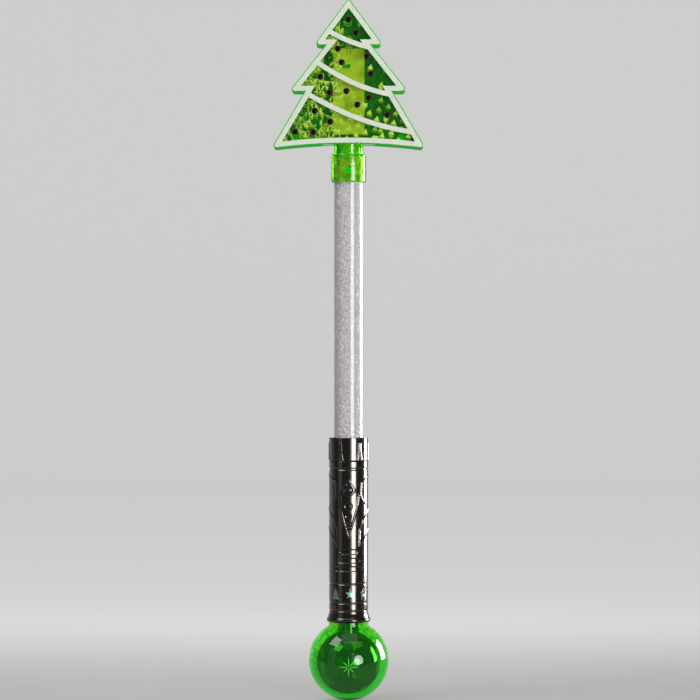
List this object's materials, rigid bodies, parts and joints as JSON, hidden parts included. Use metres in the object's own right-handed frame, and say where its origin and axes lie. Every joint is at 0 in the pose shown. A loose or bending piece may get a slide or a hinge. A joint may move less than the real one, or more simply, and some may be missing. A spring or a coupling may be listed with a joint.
{
  "type": "toy magic wand",
  "caption": "Light-up toy wand: flat translucent tree head on a glitter tube, dark chrome handle with push button and battery door, and a clear ball at the foot.",
  "frame": {"origin": "on the wand's axis, in the middle of the handle where a hand grips it", "axes": "+Z along the wand from the ball to the tree's tip, -Y out of the tree's front face, +X to the right seen from the front"},
  "size_m": [0.0974, 0.052, 0.4549],
  "materials": {
    "clear_green": "clear fluorescent green, polished",
    "prism_film": "prism film seen through green plastic",
    "white_print": "white screen print",
    "dark_print": "dark red-black screen print",
    "white_board": "white circuit board",
    "lamp_clear": "clear lamp body",
    "clear_tube": "clear extruded tube",
    "glitter": "silver-white glitter film",
    "red_lead": "insulated lead",
    "black_lead": "insulated lead",
    "dark_chrome": "dark chrome plating on moulded plastic",
    "foil": "hot-stamped foil that shifts in colour",
    "black_gloss": "polished black plastic",
    "black_matte": "matte black plastic",
    "ivory_plastic": "natural moulded plastic",
    "green_board": "green circuit board",
    "bright_steel": "bright plated steel",
    "contact_brass": "plated contact strip"
  },
  "bodies": {
    "wand": {"tree_front_shell": "clear_green", "tree_back_shell": "clear_green", "front_prism_film": "prism_film", "back_prism_film": "prism_film", "front_trim": "white_print", "back_trim": "white_print", "front_baubles": "dark_print", "back_baubles": "dark_print", "head_board": "white_board", "head_led": "lamp_clear", "clear_tube": "clear_tube", "glitter_film": "glitter", "head_lead_red": "red_lead", "head_lead_black": "black_lead", "petal_ferrule": "dark_chrome", "handle_front": "dark_chrome", "handle_back": "dark_chrome", "foil_motifs": "foil", "switch_body": "black_matte", "control_board": "green_board", "driver_chip": "black_matte", "tube_led": "lamp_clear", "battery_box": "ivory_plastic", "coin_cells": "bright_steel", "contact_plate": "contact_brass", "contact_leaf": "contact_brass", "battery_leads": "red_lead", "handle_screws": "bright_steel", "base_board": "white_board", "ball_led": "lamp_clear", "base_lead_red": "red_lead", "base_lead_black": "black_lead", "ball_front": "clear_green", "ball_back": "clear_green"},
    "button": {"push_button": "black_gloss"},
    "plunger": {"switch_plunger": "ivory_plastic"},
    "door": {"battery_door": "dark_chrome"},
    "door_screw": {"door_screw": "bright_steel"}
  },
  "joints": [
    {"name": "button_press", "type": "slide", "parent": "wand", "child": "button", "axis": [0, 1, 0], "range_m": [0, 0.0008], "stiffness_N_per_m": 400},
    {"name": "plunger_press", "type": "slide", "parent": "wand", "child": "plunger", "axis": [0, 1, 0], "range_m": [0, 0.0008]},
    {"name": "door_lift", "type": "slide", "parent": "wand", "child": "door", "axis": [0, 1, 0], "range_m": [0, 0.02]},
    {"name": "door_screw_turn", "type": "hinge", "parent": "door", "child": "door_screw", "pos_m": [0, 0, -0.02185], "axis": [0, 1, 0], "continuous": true}
  ],
  "couplings": [
    {"joint": "plunger_press", "follows": "button_press", "ratio": 1}
  ]
}
